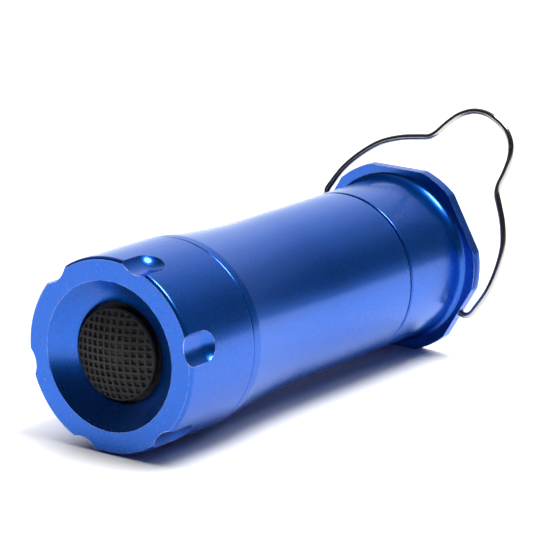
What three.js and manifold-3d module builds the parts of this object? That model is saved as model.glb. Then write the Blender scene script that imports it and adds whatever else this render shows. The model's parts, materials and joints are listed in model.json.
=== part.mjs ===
// Pull-out lantern flashlight: a waisted aluminium body with a screw-on tail cap, a rubber
// push-button in a dished recess, a sliding head on a clear lantern tube, a hexagonal
// anti-roll flange round the lens and a sprung-wire bail for hanging it up.
//
// Millimetres, +Z up. The light lies on one flat of its flange. Its axis runs along +Y from
// tail to lens. Inside the light's own group, y = 0 is the tail face and the axis is x = z = 0.

import * as THREE from 'three';
import { mergeVertices } from 'three/addons/utils/BufferGeometryUtils.js';
import Module from 'manifold-3d';

const wasm = await Module();
wasm.setup();

// Driving dimensions -------------------------------------------------------------------------

const CAP_R = 16.5;               // outer radius of the tail cap
const CAP_LENGTH = 17.57;         // tail face to the seam with the body
const CAP_CHAMFER = 0.53;         // bevel round the tail face
const SEAM_GAP = 0.15;            // hairline between cap and body, and its small edge break

const DISH_R = 12.6;              // recess round the button, at the tail face
const DISH_DEPTH = 2.95;
const BOOT_HOLE_R = 8.5;          // hole that the button comes through
const END_WALL_Y = 4.4;           // inner face of the cap's end wall
const MODULE_BORE_R = 12.6;       // bore that holds the switch
const MODULE_BORE_END_Y = 12.4;

const NOTCH_COUNT = 6;            // grip scallops, cut by a ball cutter
const NOTCH_FIRST_DEG = 17;       // turn of the first one from straight up
const NOTCH_BALL_R = 4.0;
const NOTCH_DEPTH = 1.2;
const NOTCH_BALL_Y = 4.1;         // how far in from the tail face the ball's centre stops

const NECK_R = 14.9;              // body's threaded neck, inside the cap
const NECK_END_Y = 12.6;
const NECK_CLEARANCE = 0.3;
const RING_GROOVE_R = 14.2;       // floor of the neck's sealing groove
const RING_GROOVE_START_Y = 15.6;
const RING_GROOVE_END_Y = 16.9;

const BODY_BAND_R = 16.4;         // straight band just ahead of the seam
const BODY_BAND_END_Y = 19.6;
const WAIST_R = 14.72;            // the slim part of the body, and the head
const WAIST_START_Y = 45;
const WAIST_STEPS = 6;
const BODY_BORE_R = 13.9;
const LIP_R = 13.55;              // front lip that guides the lantern tube and stops it
const LIP_START_Y = 66.8;
const GROOVE_Y = 68.67;           // V-groove where the head meets the body
const GROOVE_HALF = 0.2;
const GROOVE_BEVEL = 0.3;

const FLANGE_BACK_Y = 85.26;
const FRONT_Y = 87.33;            // front face of the flange: the length of the light
const FLANGE_MID_Y = (FLANGE_BACK_Y + FRONT_Y) / 2;
const FLANGE_FLAT_R = CAP_R;      // flats at the cap's radius, so that the light lies level
const FLANGE_CORNER_R = 17.42;    // the six corners are arcs about the light's axis
const FLANGE_SIDES = 6;
const FLANGE_FILLET = 1.4;
const HEAD_BORE_R = 13.7;

const TUBE_IN_R = 12.5;           // clear lantern tube
const TUBE_OUT_R = 13.4;
const TUBE_START_Y = 36;
const TUBE_END_Y = 81.8;
const TUBE_COLLAR_R = 13.75;      // two collars that keep the glide band in place
const TUBE_COLLAR_WIDTH = 1.0;
const GLIDE_BAND_WIDTH = 2.0;
const GLIDE_GAP = 0.25;           // end play of the glide band between its collars

const BAIL_WIRE_R = 0.6;
const BAIL_HOLE_R = 0.75;
const BAIL_HOLE_FLOOR_R = 14.2;   // bottom of the blind pivot holes
const BAIL_LEG_END_R = 14.6;
const BAIL_AXIS_DEG = 120;        // turn of the flat that holds the first pivot, from straight up
const BAIL_LEAN_DEG = 17;         // lean of the wire loop ahead of the flange

const CELL_R = 5.25;              // AAA cells
const CELL_LENGTH = 44.5;
const CELL_NUB_R = 1.9;
const CELL_NUB_LENGTH = 0.8;
const CELL_START_Y = 17.5;
const CELL_RING_R = 6.1;          // distance of each cell's axis from the light's axis
const CELL_COUNT = 3;

const ROUND = 48;                 // facets of the outer turned parts
const ROUND_INSIDE = 24;          // facets of the small and hidden turned parts

// Materials ----------------------------------------------------------------------------------

const finish = (color, roughness, metalness) => () =>
  new THREE.MeshStandardMaterial({ color, roughness, metalness });

const blueAnodised = finish(0x1f4fc8, 0.38, 0.9);
const blackRubber = finish(0x1d1d1f, 0.85, 0);
const whitePlastic = finish(0xdedcd4, 0.5, 0);
const blackPlastic = finish(0x222225, 0.5, 0);
const steel = finish(0xb8bcc0, 0.25, 1);
const chrome = finish(0xd5d8dc, 0.08, 1);
const bareAluminium = finish(0xa9adb2, 0.35, 1);
const mirror = finish(0xe4e7ea, 0.05, 1);
const brass = finish(0xc9a24f, 0.3, 1);
const greenBoard = finish(0x1d5b35, 0.55, 0);
const cellJacket = finish(0x30343a, 0.4, 0.2);
const phosphor = finish(0xe8d24a, 0.4, 0);

function clearPlastic() {
  const material = finish(0xdfe9f2, 0.08, 0)();
  material.transparent = true;
  material.opacity = 0.35;
  return material;
}

// Helpers ------------------------------------------------------------------------------------

const radians = THREE.MathUtils.degToRad;

const light = new THREE.Group();
light.position.set(0, -FLANGE_MID_Y, FLANGE_FLAT_R);

const group = new THREE.Group();
group.add(light);

function add(name, geometry, material) {
  const mesh = new THREE.Mesh(geometry, material());
  mesh.name = name;
  light.add(mesh);
  return mesh;
}

// A part turned about the light's axis. The profile is [radius, y] points, anticlockwise with
// the radius to the right; it closes on itself unless both of its ends are on the axis.
function turned(profile, facets = ROUND_INSIDE) {
  const points = profile.map(([radius, y]) => new THREE.Vector2(radius, y));
  const solid = profile[0][0] === 0 && profile.at(-1)[0] === 0;
  if (!solid) points.push(points[0].clone());
  return new THREE.LatheGeometry(points, facets);
}

function disc(radius, start, end) {
  return turned([[0, start], [radius, start], [radius, end], [0, end]]);
}

function ring(inner, outer, start, end, facets = ROUND_INSIDE) {
  return turned([[inner, start], [outer, start], [outer, end], [inner, end]], facets);
}

// Unit vector across the light's axis, turned from straight up towards +X.
function across(degrees) {
  return new THREE.Vector3(Math.sin(radians(degrees)), 0, Math.cos(radians(degrees)));
}

function toSolid(geometry) {
  const bare = geometry.clone();
  bare.deleteAttribute('normal');
  bare.deleteAttribute('uv');
  const merged = mergeVertices(bare, 1e-4);
  return new wasm.Manifold(new wasm.Mesh({
    numProp: 3,
    vertProperties: new Float32Array(merged.attributes.position.array),
    triVerts: new Uint32Array(merged.index.array),
  }));
}

function toGeometry(solid) {
  const mesh = solid.getMesh();
  const geometry = new THREE.BufferGeometry();
  geometry.setAttribute('position', new THREE.BufferAttribute(mesh.vertProperties, 3));
  geometry.setIndex(new THREE.BufferAttribute(mesh.triVerts, 1));
  geometry.computeVertexNormals();
  return geometry;
}

function cut(base, tools) {
  return toGeometry(tools.reduce((solid, tool) => solid.subtract(toSolid(tool)), toSolid(base)));
}

// Tail cap -----------------------------------------------------------------------------------

function notchCutter(index) {
  const overrun = 6;
  const cutter = new THREE.CapsuleGeometry(NOTCH_BALL_R, NOTCH_BALL_Y + overrun, 4, 16);
  const offset = across(NOTCH_FIRST_DEG + index * 360 / NOTCH_COUNT);
  offset.multiplyScalar(CAP_R - NOTCH_DEPTH + NOTCH_BALL_R);
  offset.y = (NOTCH_BALL_Y - overrun) / 2;
  return cutter.translate(offset.x, offset.y, offset.z);
}

function tailCap() {
  const frontY = CAP_LENGTH - SEAM_GAP / 2;
  const blank = turned([
    [DISH_R, 0],
    [CAP_R - CAP_CHAMFER, 0],
    [CAP_R, CAP_CHAMFER],
    [CAP_R, frontY - SEAM_GAP],
    [CAP_R - SEAM_GAP, frontY],
    [NECK_R + NECK_CLEARANCE, frontY],
    [NECK_R + NECK_CLEARANCE, MODULE_BORE_END_Y],
    [MODULE_BORE_R, MODULE_BORE_END_Y],
    [MODULE_BORE_R, END_WALL_Y],
    [BOOT_HOLE_R, END_WALL_Y],
    [BOOT_HOLE_R, DISH_DEPTH],
  ], ROUND);
  const cutters = Array.from({ length: NOTCH_COUNT }, (_, index) => notchCutter(index));
  return cut(blank, cutters);
}

add('tail_cap', tailCap(), blueAnodised);

// Push-button and switch ---------------------------------------------------------------------

const BOOT_R = 7.8;
const BOOT_TOP_Y = 0.25;
const BOOT_EDGE_Y = 2.0;          // where the dome turns into its straight side
const BOOT_SKIRT_Y = 4.0;
const BOOT_WALL = 1.0;
const BOOT_STEPS = 4;

// Points of a shallow dome from its apex out to its edge.
function dome(radius, topY, edgeY) {
  return Array.from({ length: BOOT_STEPS + 1 }, (_, step) => {
    const share = step / BOOT_STEPS;
    return [radius * share, topY + (edgeY - topY) * share ** 2];
  });
}

function bootDome() {
  const outside = dome(BOOT_R, BOOT_TOP_Y, BOOT_EDGE_Y);
  const inside = dome(BOOT_R - BOOT_WALL, BOOT_TOP_Y + BOOT_WALL, BOOT_EDGE_Y + BOOT_WALL / 2);
  return turned([
    ...outside,
    [BOOT_R, BOOT_SKIRT_Y],
    [BOOT_R - BOOT_WALL, BOOT_SKIRT_Y],
    ...inside.reverse(),
  ], ROUND_INSIDE);
}

const STACK_R = MODULE_BORE_R - 0.3;      // parts that fit in the switch bore
const STACK_GAP = 0.2;                    // end gap between the stacked parts
const SKIRT_IN_R = 8.1;
const SKIRT_START_Y = END_WALL_Y + STACK_GAP;
const SKIRT_END_Y = 5.6;

const PLUNGER_R = 3.0;
const PLUNGER_START_Y = 1.5;
const PLUNGER_END_Y = 6.4;
const HOUSING_R = 7.9;
const HOUSING_START_Y = 6.0;
const HOUSING_END_Y = 10.0;
const HOUSING_BORE_R = 3.4;
const HOUSING_FLOOR_Y = 9.6;
const RETURN_SPRING_IN_R = 1.6;
const RETURN_SPRING_OUT_R = 2.4;
const SPRING_GAP = 0.1;                   // end gap of each coil spring

const SPACER_IN_R = 8.6;
const SPACER_END_Y = 9.9;
const BOARD_START_Y = SPACER_END_Y + STACK_GAP;
const BOARD_END_Y = 10.9;
const RETAINING_RING_IN_R = 9.5;
const RETAINING_RING_START_Y = 11.0;
const RETAINING_RING_END_Y = 12.3;
const TAIL_SPRING_WIDE_R = 3.4;
const TAIL_SPRING_NARROW_R = 2.2;
const TAIL_SPRING_END_Y = 14.3;

function switchHousing() {
  return turned([
    [0, HOUSING_FLOOR_Y],
    [HOUSING_BORE_R, HOUSING_FLOOR_Y],
    [HOUSING_BORE_R, HOUSING_START_Y],
    [HOUSING_R, HOUSING_START_Y],
    [HOUSING_R, HOUSING_END_Y],
    [0, HOUSING_END_Y],
  ]);
}

// The outer shape of a conical coil spring.
function coneSpring(startR, endR, start, end) {
  return turned([[0, start], [startR, start], [endR, end], [0, end]]);
}

function returnSpring() {
  const start = PLUNGER_END_Y + SPRING_GAP;
  const end = HOUSING_FLOOR_Y - SPRING_GAP;
  return ring(RETURN_SPRING_IN_R, RETURN_SPRING_OUT_R, start, end);
}

function tailContactSpring() {
  const start = BOARD_END_Y + STACK_GAP;
  return coneSpring(TAIL_SPRING_WIDE_R, TAIL_SPRING_NARROW_R, start, TAIL_SPRING_END_Y);
}

function retainingRing() {
  const outer = STACK_R + 0.1;
  return ring(RETAINING_RING_IN_R, outer, RETAINING_RING_START_Y, RETAINING_RING_END_Y);
}

add('boot_dome', bootDome(), blackRubber);
add('boot_skirt', ring(SKIRT_IN_R, STACK_R, SKIRT_START_Y, SKIRT_END_Y), blackRubber);
add('switch_plunger', disc(PLUNGER_R, PLUNGER_START_Y, PLUNGER_END_Y), whitePlastic);
add('switch_return_spring', returnSpring(), steel);
add('switch_housing', switchHousing(), blackPlastic);
add('switch_spacer', ring(SPACER_IN_R, STACK_R, SKIRT_END_Y + STACK_GAP, SPACER_END_Y), blackPlastic);
add('switch_board', disc(STACK_R, BOARD_START_Y, BOARD_END_Y), greenBoard);
add('switch_retaining_ring', retainingRing(), brass);
add('tail_contact_spring', tailContactSpring(), steel);

// Body ---------------------------------------------------------------------------------------

// The body narrows from its rear band to its waist along a parabola.
function waist() {
  return Array.from({ length: WAIST_STEPS + 1 }, (_, step) => {
    const share = step / WAIST_STEPS;
    const y = BODY_BAND_END_Y + (WAIST_START_Y - BODY_BAND_END_Y) * share;
    return [WAIST_R + (BODY_BAND_R - WAIST_R) * (1 - share) ** 2, y];
  });
}

function bodyTube() {
  const rearY = CAP_LENGTH + SEAM_GAP / 2;
  const frontY = GROOVE_Y - GROOVE_HALF;
  return turned([
    [BODY_BORE_R, NECK_END_Y],
    [NECK_R, NECK_END_Y],
    [NECK_R, RING_GROOVE_START_Y],
    [RING_GROOVE_R, RING_GROOVE_START_Y],
    [RING_GROOVE_R, RING_GROOVE_END_Y],
    [NECK_R, RING_GROOVE_END_Y],
    [NECK_R, rearY],
    [BODY_BAND_R, rearY],
    ...waist(),
    [WAIST_R, frontY - GROOVE_BEVEL],
    [WAIST_R - GROOVE_BEVEL, frontY],
    [LIP_R, frontY],
    [LIP_R, LIP_START_Y],
    [BODY_BORE_R, LIP_START_Y],
  ], ROUND);
}

// A ring of round section.
function roundRing(radius, section, y) {
  const sides = 6;
  const profile = Array.from({ length: sides }, (_, side) => {
    const angle = 2 * Math.PI * side / sides;
    return [radius + section * Math.cos(angle), y + section * Math.sin(angle)];
  });
  return turned(profile, ROUND_INSIDE);
}

const O_RING_R = 14.68;
const O_RING_SECTION_R = 0.38;
const O_RING_Y = (RING_GROOVE_START_Y + RING_GROOVE_END_Y) / 2;

add('body_tube', bodyTube(), blueAnodised);
add('tail_o_ring', roundRing(O_RING_R, O_RING_SECTION_R, O_RING_Y), blackRubber);

// Battery tube, cartridge and cells ----------------------------------------------------------

const BATTERY_TUBE_IN_R = 11.65;
const BATTERY_TUBE_OUT_R = 12.2;
const BATTERY_TUBE_START_Y = 13.0;
const BATTERY_TUBE_END_Y = 66.0;
const BATTERY_FLANGE_R = 13.7;
const BATTERY_FLANGE_END_Y = 16.0;

const CARTRIDGE_R = 11.35;
const CARTRIDGE_START_Y = 14.6;
const CARTRIDGE_PLATE = 2.0;
const CARTRIDGE_SPINE_R = 0.7;
const CARTRIDGE_FRONT_Y = 62.2;
const CARTRIDGE_END_Y = CARTRIDGE_FRONT_Y + CARTRIDGE_PLATE;
const CONTACT_R = 4.0;
const CONTACT_DEPTH = 0.5;
const CONTACT_CLEARANCE = 0.15;
const CELL_SPRING_IN_R = 1.4;
const CELL_SPRING_OUT_R = 2.6;

function batteryTube() {
  return turned([
    [BATTERY_TUBE_IN_R, BATTERY_TUBE_START_Y],
    [BATTERY_FLANGE_R, BATTERY_TUBE_START_Y],
    [BATTERY_FLANGE_R, BATTERY_FLANGE_END_Y],
    [BATTERY_TUBE_OUT_R, BATTERY_FLANGE_END_Y],
    [BATTERY_TUBE_OUT_R, BATTERY_TUBE_END_Y],
    [BATTERY_TUBE_IN_R, BATTERY_TUBE_END_Y],
  ], ROUND_INSIDE);
}

// Two end plates on a centre spine, each with a shallow seat for its contact disc.
function cartridgeFrame() {
  const seatR = CONTACT_R + CONTACT_CLEARANCE;
  const seat = CONTACT_DEPTH + CONTACT_CLEARANCE;
  return turned([
    [0, CARTRIDGE_START_Y + seat],
    [seatR, CARTRIDGE_START_Y + seat],
    [seatR, CARTRIDGE_START_Y],
    [CARTRIDGE_R, CARTRIDGE_START_Y],
    [CARTRIDGE_R, CARTRIDGE_START_Y + CARTRIDGE_PLATE],
    [CARTRIDGE_SPINE_R, CARTRIDGE_START_Y + CARTRIDGE_PLATE],
    [CARTRIDGE_SPINE_R, CARTRIDGE_FRONT_Y],
    [CARTRIDGE_R, CARTRIDGE_FRONT_Y],
    [CARTRIDGE_R, CARTRIDGE_END_Y],
    [seatR, CARTRIDGE_END_Y],
    [seatR, CARTRIDGE_END_Y - seat],
    [0, CARTRIDGE_END_Y - seat],
  ]);
}

function cell() {
  const shoulderY = CELL_START_Y + CELL_LENGTH - CELL_NUB_LENGTH;
  return turned([
    [0, CELL_START_Y],
    [CELL_R, CELL_START_Y],
    [CELL_R, shoulderY],
    [CELL_NUB_R, shoulderY],
    [CELL_NUB_R, CELL_START_Y + CELL_LENGTH],
    [0, CELL_START_Y + CELL_LENGTH],
  ]);
}

add('battery_tube', batteryTube(), bareAluminium);
add('cartridge_frame', cartridgeFrame(), blackPlastic);
add('cartridge_rear_contact', disc(CONTACT_R, CARTRIDGE_START_Y, CARTRIDGE_START_Y + CONTACT_DEPTH), brass);
add('cartridge_front_contact', disc(CONTACT_R, CARTRIDGE_END_Y - CONTACT_DEPTH, CARTRIDGE_END_Y), brass);

function cellSpring() {
  const start = CARTRIDGE_START_Y + CARTRIDGE_PLATE + SPRING_GAP;
  return ring(CELL_SPRING_IN_R, CELL_SPRING_OUT_R, start, CELL_START_Y - SPRING_GAP);
}

for (let index = 0; index < CELL_COUNT; index += 1) {
  const offset = across(360 * index / CELL_COUNT).multiplyScalar(CELL_RING_R);
  add(`cell_${index + 1}`, cell(), cellJacket).position.copy(offset);
  add(`cell_spring_${index + 1}`, cellSpring(), steel).position.copy(offset);
}

// Light source -------------------------------------------------------------------------------

const FRONT_SPRING_START_Y = 64.3;
const FRONT_SPRING_END_Y = 67.0;
const FRONT_SPRING_NARROW_R = 2.2;
const FRONT_SPRING_WIDE_R = 3.2;
const HEATSINK_START_Y = 66.2;
const HEATSINK_END_Y = 70.4;
const HEATSINK_POCKET_R = 4.5;
const HEATSINK_POCKET_Y = 67.2;
const LED_BOARD_R = 9.0;
const LED_BOARD_START_Y = 70.5;
const LED_BOARD_END_Y = 71.65;
const EMITTER_BASE_Y = 71.75;
const EMITTER_BASE_R = 1.75;
const EMITTER_SHOULDER_Y = 72.5;
const EMITTER_DOME_R = 1.3;

function heatsink() {
  return turned([
    [0, HEATSINK_POCKET_Y],
    [HEATSINK_POCKET_R, HEATSINK_POCKET_Y],
    [HEATSINK_POCKET_R, HEATSINK_START_Y],
    [BATTERY_TUBE_OUT_R, HEATSINK_START_Y],
    [BATTERY_TUBE_OUT_R, HEATSINK_END_Y],
    [0, HEATSINK_END_Y],
  ]);
}

function emitter() {
  const steps = 4;
  const curve = Array.from({ length: steps + 1 }, (_, step) => {
    const angle = (Math.PI / 2) * step / steps;
    const radius = step === steps ? 0 : EMITTER_DOME_R * Math.cos(angle);
    return [radius, EMITTER_SHOULDER_Y + EMITTER_DOME_R * Math.sin(angle)];
  });
  return turned([
    [0, EMITTER_BASE_Y],
    [EMITTER_BASE_R, EMITTER_BASE_Y],
    [EMITTER_BASE_R, EMITTER_SHOULDER_Y],
    ...curve,
  ]);
}

function frontContactSpring() {
  return coneSpring(FRONT_SPRING_NARROW_R, FRONT_SPRING_WIDE_R, FRONT_SPRING_START_Y, FRONT_SPRING_END_Y);
}

add('front_contact_spring', frontContactSpring(), steel);
add('led_heatsink', heatsink(), bareAluminium);
add('led_board', disc(LED_BOARD_R, LED_BOARD_START_Y, LED_BOARD_END_Y), greenBoard);
add('led_emitter', emitter(), phosphor);

// Head ---------------------------------------------------------------------------------------

// Hexagon whose corners are rounded off by one circle about the light's axis.
function flangeOutline() {
  const shape = new THREE.Shape();
  const halfFlat = Math.acos(FLANGE_FLAT_R / FLANGE_CORNER_R);
  const side = 2 * Math.PI / FLANGE_SIDES;
  for (let index = 0; index < FLANGE_SIDES; index += 1) {
    const flatEnd = Math.PI / 2 + index * side + halfFlat;
    const nextFlat = Math.PI / 2 + (index + 1) * side - halfFlat;
    shape.absarc(0, 0, FLANGE_CORNER_R, flatEnd, nextFlat, false);
  }
  shape.closePath();
  return shape;
}

function flangeBlank() {
  const thickness = FRONT_Y - FLANGE_BACK_Y;
  const plate = new THREE.ExtrudeGeometry(flangeOutline(), {
    depth: thickness,
    bevelEnabled: false,
    curveSegments: 4,
  });
  return plate.rotateX(-Math.PI / 2).translate(0, FLANGE_BACK_Y, 0);
}

function headSleeve() {
  const rearY = GROOVE_Y + GROOVE_HALF;
  const filletSteps = 4;
  const fillet = Array.from({ length: filletSteps + 1 }, (_, step) => {
    const angle = (Math.PI / 2) * step / filletSteps;
    return [
      WAIST_R + FLANGE_FILLET * (1 - Math.cos(angle)),
      FLANGE_BACK_Y - FLANGE_FILLET * (1 - Math.sin(angle)),
    ];
  });
  return turned([
    [0, rearY],
    [WAIST_R - GROOVE_BEVEL, rearY],
    [WAIST_R, rearY + GROOVE_BEVEL],
    ...fillet,
    [WAIST_R + FLANGE_FILLET, FLANGE_MID_Y],
    [0, FLANGE_MID_Y],
  ], ROUND);
}

function pivotDrill(degrees) {
  const reach = 6;
  const drill = new THREE.CylinderGeometry(BAIL_HOLE_R, BAIL_HOLE_R, reach, 12);
  const middle = across(degrees).multiplyScalar(BAIL_HOLE_FLOOR_R + reach / 2);
  const turn = new THREE.Quaternion().setFromUnitVectors(new THREE.Vector3(0, 1, 0), across(degrees));
  return drill.applyQuaternion(turn).translate(middle.x, FLANGE_MID_Y, middle.z);
}

function headShell() {
  const margin = 1;
  const bore = new THREE.CylinderGeometry(HEAD_BORE_R, HEAD_BORE_R, FRONT_Y - GROOVE_Y + 2 * margin, ROUND);
  bore.translate(0, (FRONT_Y + GROOVE_Y) / 2, 0);
  let solid = toSolid(headSleeve()).add(toSolid(flangeBlank()));
  for (const tool of [bore, pivotDrill(BAIL_AXIS_DEG), pivotDrill(BAIL_AXIS_DEG + 180)]) {
    solid = solid.subtract(toSolid(tool));
  }
  return toGeometry(solid);
}

function lanternTube() {
  const bandStart = TUBE_START_Y + TUBE_COLLAR_WIDTH;
  const bandEnd = bandStart + GLIDE_BAND_WIDTH + 2 * GLIDE_GAP;
  return turned([
    [TUBE_IN_R, TUBE_START_Y],
    [TUBE_COLLAR_R, TUBE_START_Y],
    [TUBE_COLLAR_R, bandStart],
    [TUBE_OUT_R, bandStart],
    [TUBE_OUT_R, bandEnd],
    [TUBE_COLLAR_R, bandEnd],
    [TUBE_COLLAR_R, bandEnd + TUBE_COLLAR_WIDTH],
    [TUBE_OUT_R, bandEnd + TUBE_COLLAR_WIDTH],
    [TUBE_OUT_R, TUBE_END_Y],
    [TUBE_IN_R, TUBE_END_Y],
  ], ROUND);
}

const REFLECTOR_BACK_Y = 72.2;
const REFLECTOR_FRONT_Y = 82.9;
const REFLECTOR_HOLE_R = 3.0;
const REFLECTOR_MOUTH_R = 12.2;
const REFLECTOR_WALL = 0.8;
const REFLECTOR_RIM = 0.9;
const REFLECTOR_STEPS = 5;
const REFLECTOR_RIM_R = HEAD_BORE_R - 0.25;
const REFLECTOR_RIM_NECK = 0.6;   // how much wider the bowl is where it meets its rim

// A parabolic bowl, open at its back for the emitter, with a flat rim at its front.
function reflector() {
  const bowl = (wall) => Array.from({ length: REFLECTOR_STEPS + 1 }, (_, step) => {
    const share = step / REFLECTOR_STEPS;
    const radius = REFLECTOR_HOLE_R + (REFLECTOR_MOUTH_R - REFLECTOR_HOLE_R) * share + wall;
    return [radius, REFLECTOR_BACK_Y + (REFLECTOR_FRONT_Y - REFLECTOR_BACK_Y) * share ** 2];
  });
  const outside = bowl(REFLECTOR_WALL).slice(0, -1);
  const rimBackY = REFLECTOR_FRONT_Y - REFLECTOR_RIM;
  const last = outside.at(-1);
  return turned([
    ...outside,
    [last[0] + REFLECTOR_RIM_NECK, rimBackY],
    [REFLECTOR_RIM_R, rimBackY],
    [REFLECTOR_RIM_R, REFLECTOR_FRONT_Y],
    ...bowl(0).reverse(),
  ], ROUND_INSIDE);
}

const GLIDE_BAND_IN_R = 13.5;
const GLIDE_BAND_OUT_R = 13.8;
const GLIDE_BAND_START_Y = TUBE_START_Y + TUBE_COLLAR_WIDTH + GLIDE_GAP;

const LENS_R = 13.4;
const LENS_START_Y = 83.05;
const LENS_END_Y = 84.85;
const LENS_STACK_GAP = 0.1;
const GASKET_IN_R = 12.3;
const GASKET_OUT_R = 13.45;
const GASKET_END_Y = 85.65;
const LENS_RING_IN_R = 12.0;
const LENS_RING_OUT_R = 13.5;
const LENS_RING_END_Y = 87.0;

function glideBand() {
  const end = GLIDE_BAND_START_Y + GLIDE_BAND_WIDTH;
  return ring(GLIDE_BAND_IN_R, GLIDE_BAND_OUT_R, GLIDE_BAND_START_Y, end, ROUND);
}

function lensGasket() {
  return ring(GASKET_IN_R, GASKET_OUT_R, LENS_END_Y + LENS_STACK_GAP, GASKET_END_Y);
}

function lensRetainingRing() {
  return ring(LENS_RING_IN_R, LENS_RING_OUT_R, GASKET_END_Y + LENS_STACK_GAP, LENS_RING_END_Y);
}

add('head_shell', headShell(), blueAnodised);
add('lantern_tube', lanternTube(), clearPlastic);
add('glide_band', glideBand(), whitePlastic);
add('reflector', reflector(), mirror);
add('lens', disc(LENS_R, LENS_START_Y, LENS_END_Y), clearPlastic);
add('lens_gasket', lensGasket(), blackRubber);
add('lens_retaining_ring', lensRetainingRing(), blueAnodised);

// Bail ---------------------------------------------------------------------------------------

// Half of the wire's centre line, from inside its pivot hole up to the middle of the hook:
// distance from the middle, and height above the pivots.
const BAIL_HALF = [
  [BAIL_LEG_END_R, 0],
  [16.3, 0],
  [17.6, 0.2],
  [18.2, 1.0],
  [18.3, 2.6],
  [18.15, 6.2],
  [17.15, 10.2],
  [15.35, 14.2],
  [12.7, 17.35],
  [9.8, 19.75],
  [8.55, 20.75],
  [7.85, 22.0],
  [7.15, 25.0],
  [6.25, 27.5],
  [4.6, 29.6],
  [2.4, 30.8],
];
const BAIL_TOP = 31.1;
const BAIL_STEPS = 80;
const BAIL_SIDES = 8;

function bail() {
  const sideways = across(BAIL_AXIS_DEG);
  const lean = radians(BAIL_LEAN_DEG);
  const upright = across(BAIL_AXIS_DEG - 90).multiplyScalar(Math.cos(lean));
  upright.y = Math.sin(lean);
  const place = (x, height) =>
    sideways.clone().multiplyScalar(x).addScaledVector(upright, height).setY(height * upright.y + FLANGE_MID_Y);
  const right = BAIL_HALF.map(([x, height]) => place(x, height));
  const left = BAIL_HALF.map(([x, height]) => place(-x, height)).reverse();
  const path = new THREE.CatmullRomCurve3([...right, place(0, BAIL_TOP), ...left]);
  const section = new THREE.Shape();
  section.absarc(0, 0, BAIL_WIRE_R, 0, 2 * Math.PI, false);
  return new THREE.ExtrudeGeometry(section, {
    steps: BAIL_STEPS,
    curveSegments: BAIL_SIDES / 2,
    extrudePath: path,
    bevelEnabled: false,
  });
}

add('bail', bail(), chrome);

export default group;
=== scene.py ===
"""Looks of a pull-out lantern flashlight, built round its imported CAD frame."""

import json
import math

import bmesh
import bpy
from mathutils import Matrix, Vector, noise


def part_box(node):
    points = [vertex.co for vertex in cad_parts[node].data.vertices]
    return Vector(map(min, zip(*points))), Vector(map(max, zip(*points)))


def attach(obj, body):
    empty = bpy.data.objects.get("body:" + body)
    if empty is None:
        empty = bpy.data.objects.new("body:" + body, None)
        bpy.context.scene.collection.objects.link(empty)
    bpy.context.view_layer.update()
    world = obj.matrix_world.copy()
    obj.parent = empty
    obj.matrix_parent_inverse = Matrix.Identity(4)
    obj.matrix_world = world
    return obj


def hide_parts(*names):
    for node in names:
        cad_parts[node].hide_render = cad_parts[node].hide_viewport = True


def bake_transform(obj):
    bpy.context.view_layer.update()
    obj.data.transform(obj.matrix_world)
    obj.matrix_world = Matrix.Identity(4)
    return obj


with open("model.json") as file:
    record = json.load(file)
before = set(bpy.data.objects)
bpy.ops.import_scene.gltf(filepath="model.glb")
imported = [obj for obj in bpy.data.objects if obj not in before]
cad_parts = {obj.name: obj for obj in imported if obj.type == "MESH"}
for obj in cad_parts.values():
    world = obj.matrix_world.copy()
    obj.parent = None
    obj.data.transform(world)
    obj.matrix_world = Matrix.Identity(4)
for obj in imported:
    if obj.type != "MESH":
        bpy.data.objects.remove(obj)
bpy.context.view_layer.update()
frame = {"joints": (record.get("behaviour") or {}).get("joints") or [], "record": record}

MM = 0.001

# The light's axis runs along +Y. Inside the helpers below a place is [radius, y] in
# millimetres, with y = 0 on the tail face and the axis at height AXIS_Z.
TAIL_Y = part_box("tail_cap")[0].y
AXIS_Z = (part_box("body_tube")[0].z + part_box("body_tube")[1].z) / 2
ORIGIN = Vector((0, TAIL_Y, AXIS_Z))

BODY_OF = {node: body for body, nodes in frame["record"]["behaviour"]["bodies"].items() for node in nodes}
SLOT_OF = {part["node"]: part["material_slot"] for part in frame["record"]["subparts"]}


def node_span(name):
    """Where a CAD node starts and ends along the light's axis, in millimetres from the tail."""
    low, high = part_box(name)
    return (low.y - TAIL_Y) / MM, (high.y - TAIL_Y) / MM


def node_radius(name):
    """Outer radius of a CAD node turned about the light's axis, in millimetres."""
    low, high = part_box(name)
    return (high.z - low.z) / 2 / MM


# --- Camera -------------------------------------------------------------------------------

CAMERA_FROM_TAIL = Vector((0.3171, -0.4229, 0.1517))   # metres, from the tail face's centre
CAMERA_RIGHT = Vector((0.82520, 0.56427, 0.02530))
CAMERA_DOWN = Vector((0.16236, -0.19406, -0.96746))
CAMERA_LENS = 222.5                                    # millimetres
CAMERA_SENSOR = 36                                     # millimetres, square
CAMERA_NEAR = 0.01                                     # metres


def add_camera():
    """The camera stands behind the tail end, above it and to its right."""
    camera = bpy.data.objects.new("camera", bpy.data.cameras.new("camera"))
    bpy.context.scene.collection.objects.link(camera)
    right = CAMERA_RIGHT.normalized()
    back = right.cross(-CAMERA_DOWN).normalized()
    up = back.cross(right)
    turn = Matrix((right, up, back)).transposed().to_4x4()
    camera.matrix_world = Matrix.Translation(ORIGIN + CAMERA_FROM_TAIL) @ turn
    camera.data.lens = CAMERA_LENS
    camera.data.sensor_width = CAMERA_SENSOR
    camera.data.clip_start = CAMERA_NEAR
    bpy.context.scene.camera = camera


add_camera()


# --- Materials ----------------------------------------------------------------------------
# Noise scales are features per metre; bump distances and edge radii are metres.

EDGE_WEAR = 0.00022             # how far from a sharp edge the dye is worn off
EDGE_SAMPLES = 6
EDGE_START, EDGE_FULL = 0.95, 0.89      # cosine of the turn at an edge, where wear starts and is full


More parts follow.
